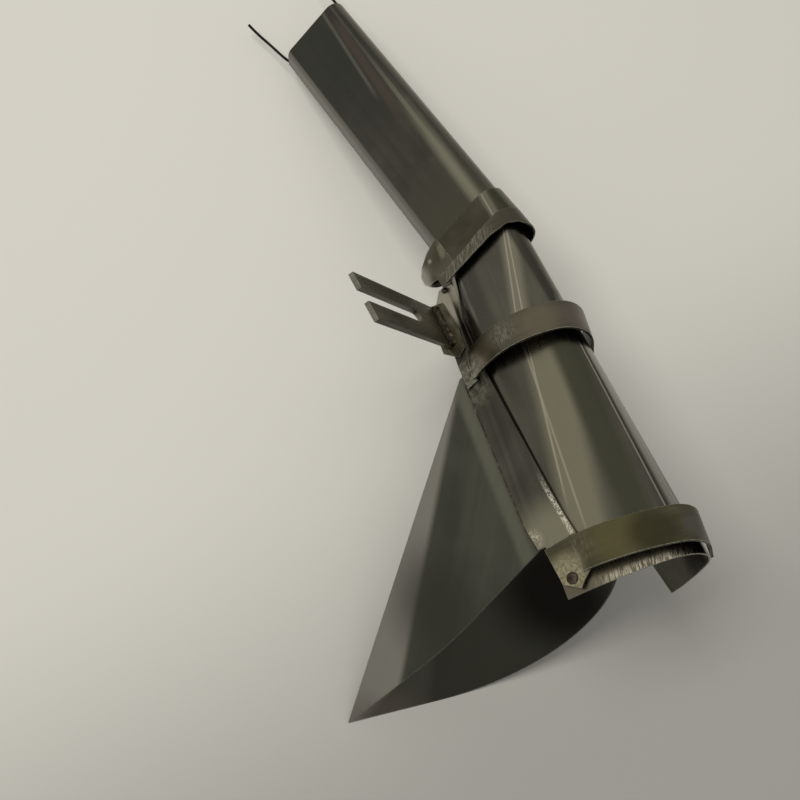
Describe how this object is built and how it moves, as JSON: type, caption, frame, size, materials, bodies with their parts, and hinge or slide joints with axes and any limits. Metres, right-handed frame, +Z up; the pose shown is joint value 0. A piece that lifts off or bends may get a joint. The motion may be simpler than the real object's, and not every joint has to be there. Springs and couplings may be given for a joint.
{
  "type": "bag forming collar",
  "caption": "Bag forming collar in sheet steel: flattened trunk, folded shell and hood, guide bands and a slotted mounting bracket.",
  "frame": {"origin": "centre of the trunk's outlet section, in the plane of its end", "axes": "+Z up the trunk from the outlet to the rim, +X across the flat webs toward the trunk's seam and the hood, +Y into the collar away from the bracket"},
  "size_m": [0.314, 0.2159, 0.507],
  "materials": {
    "trunk_steel": "dark satin sheet steel, faint lengthwise streaks",
    "shell_steel": "rolled and hand-dressed sheet steel, soft satin",
    "spine_steel": "hand-ground plate",
    "doubler_steel": "heat-browned plate",
    "bracket_steel": "dark flat bar, bright cut ends",
    "band_middle_steel": "brushed and ground flat bar",
    "band_lower_steel": "brushed flat bar with an olive-brown tint",
    "band_upper_steel": "brushed flat bar, ground lip",
    "ear_steel": "rolled flat bar, ground at the weld",
    "hood_steel": "dark satin sheet steel",
    "rod_steel": "plain drawn wire",
    "weld_steel": "ground weld metal, dark in the pits"
  },
  "bodies": {
    "root": {"trunk_tube": "trunk_steel", "cone_shell": "shell_steel", "spine_plate": "spine_steel", "doubler_plate": "doubler_steel", "slotted_bracket": "bracket_steel", "collar_band_middle": "band_middle_steel", "collar_band_lower": "band_lower_steel", "collar_band_upper": "band_upper_steel", "band_ear": "ear_steel", "hood": "hood_steel", "spreader_rod_left": "rod_steel", "spreader_rod_right": "rod_steel", "trunk_seam_weld": "weld_steel", "bracket_weld_near": "weld_steel", "bracket_weld_far": "weld_steel", "hood_seam_weld": "weld_steel", "rim_spot_weld": "weld_steel", "tab_weld_middle": "weld_steel", "ear_weld": "weld_steel"}
  },
  "joints": []
}
